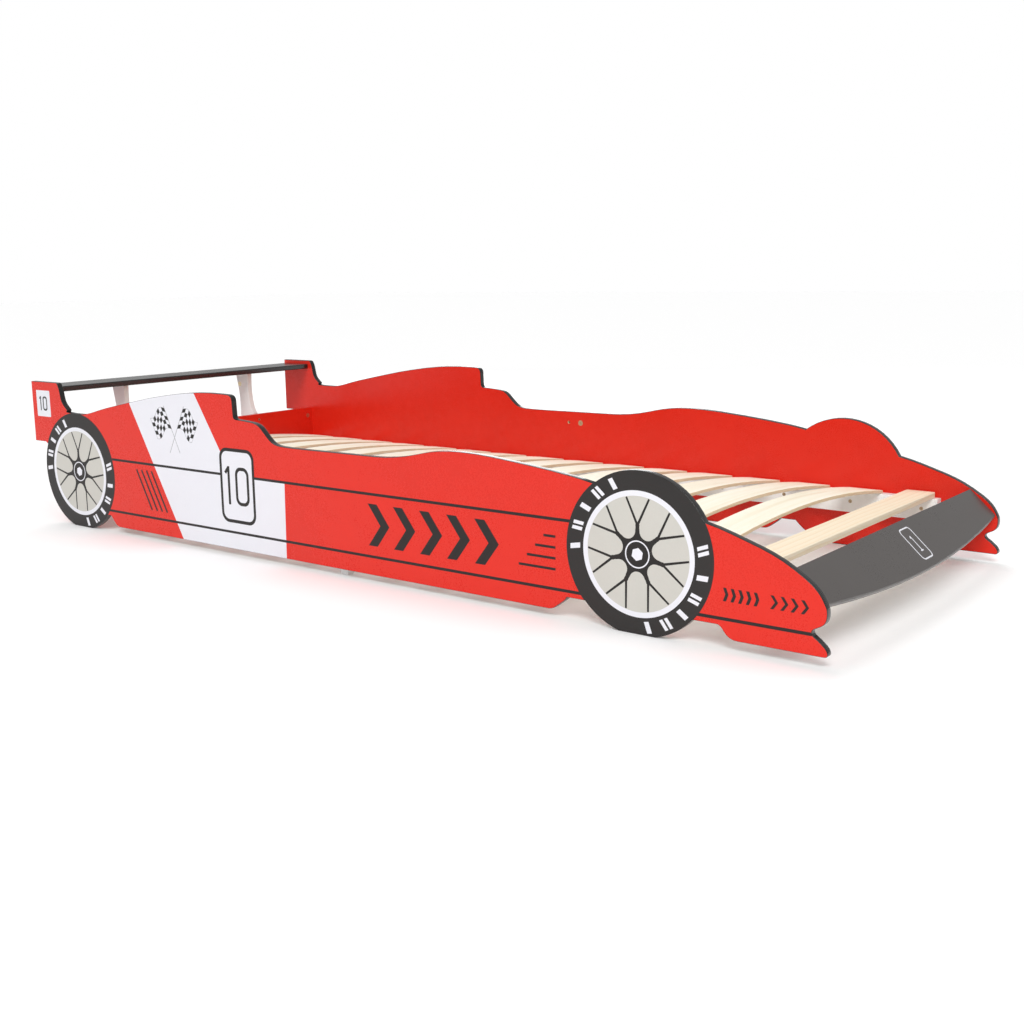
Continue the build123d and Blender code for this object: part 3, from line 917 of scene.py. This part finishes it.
# =======================================================================================
# Studio
# =======================================================================================
def build_floor():
    mesh = bpy.data.meshes.new("studio_floor")
    corners = ((-1, -1), (1, -1), (1, 1), (-1, 1))
    mesh.from_pydata([(x * FLOOR_HALF, y * FLOOR_HALF, -FLOOR_DROP) for x, y in corners], [],
                     [(0, 1, 2, 3)])
    floor = bpy.data.objects.new("studio_floor", mesh)
    bpy.context.scene.collection.objects.link(floor)
    material, _, _, shader = new_material("studio_floor")
    shader.inputs["Base Color"].default_value = (FLOOR_WHITE, FLOOR_WHITE, FLOOR_WHITE, 1)
    shader.inputs["Roughness"].default_value = 0.9
    shader.inputs["Emission Color"].default_value = (1, 1, 1, 1)
    shader.inputs["Emission Strength"].default_value = FLOOR_GLOW
    mesh.materials.append(material)


def aim(name, data, place, target):
    lamp = bpy.data.objects.new(name, data)
    lamp.visible_camera = False
    lamp.location = place
    lamp.rotation_euler = (Vector(target) - Vector(place)).to_track_quat("-Z", "Y").to_euler()
    bpy.context.scene.collection.objects.link(lamp)


def area_light(name, place, target, size, power):
    light = bpy.data.lights.new(name, "AREA")
    light.shape = "DISK"
    light.size = size
    light.energy = power
    aim(name, light, place, target)


def far_light(name, place, width, strength):
    """A soft light too far off to fade across the floor. width is the angle it fills, in degrees."""
    light = bpy.data.lights.new(name, "SUN")
    light.angle = math.radians(width)
    light.energy = strength
    aim(name, light, place, (0, 0, 0))


def build_light():
    """A white studio with a soft key from the front right. Its walls light less than they show."""
    world = bpy.data.worlds.new("studio")
    world.use_nodes = True
    nodes, links = world.node_tree.nodes, world.node_tree.links
    background = nodes["Background"]
    background.inputs["Color"].default_value = (1, 1, 1, 1)
    path = nodes.new("ShaderNodeLightPath")
    strength = remap(nodes, links, path.outputs["Is Camera Ray"], 0, 1, WALL_LIGHT, 1.0)
    links.new(strength, background.inputs["Strength"])
    bpy.context.scene.world = world
    far_light("key", (1.5, -3.2, 3.4), width=25, strength=1.42)
    far_light("top", (-1.6, 0.9, 3.4), width=34, strength=0.85)
    area_light("front", (2.6, -2.2, 2.2), target=(0.5, 0, 0.2), size=1.2, power=22)
    area_light("rim", (-2.7, 4.1, 1.5), target=(0, 0, 0.3), size=2.2, power=30)


def build_camera():
    a, e, r = (math.radians(v) for v in (CAMERA_AZIMUTH, CAMERA_ELEVATION, CAMERA_ROLL))
    forward = Vector((-math.sin(a) * math.cos(e), math.cos(a) * math.cos(e), -math.sin(e)))
    right = Vector((math.cos(a), math.sin(a), 0))
    up = right.cross(forward)
    axes = (right * math.cos(r) + up * math.sin(r), up * math.cos(r) - right * math.sin(r), -forward)
    camera = bpy.data.objects.new("camera", bpy.data.cameras.new("camera"))
    camera.data.lens = CAMERA_LENS
    camera.data.shift_x, camera.data.shift_y = CAMERA_SHIFT
    camera.matrix_world = Matrix.Translation(CAMERA_PLACE) @ Matrix(axes).transposed().to_4x4()
    bpy.context.scene.collection.objects.link(camera)
    bpy.context.scene.camera = camera


finish = build_materials()
for side_name, side in SIDES.items():
    outline, outer_y = build_panel(side_name, side, finish)
    print_panel(side_name, side, outline, outer_y, finish)
nose_mark(finish)
finish_cad_parts(finish)
build_floor()
build_light()
build_camera()
bpy.context.scene.view_settings.view_transform = "Standard"
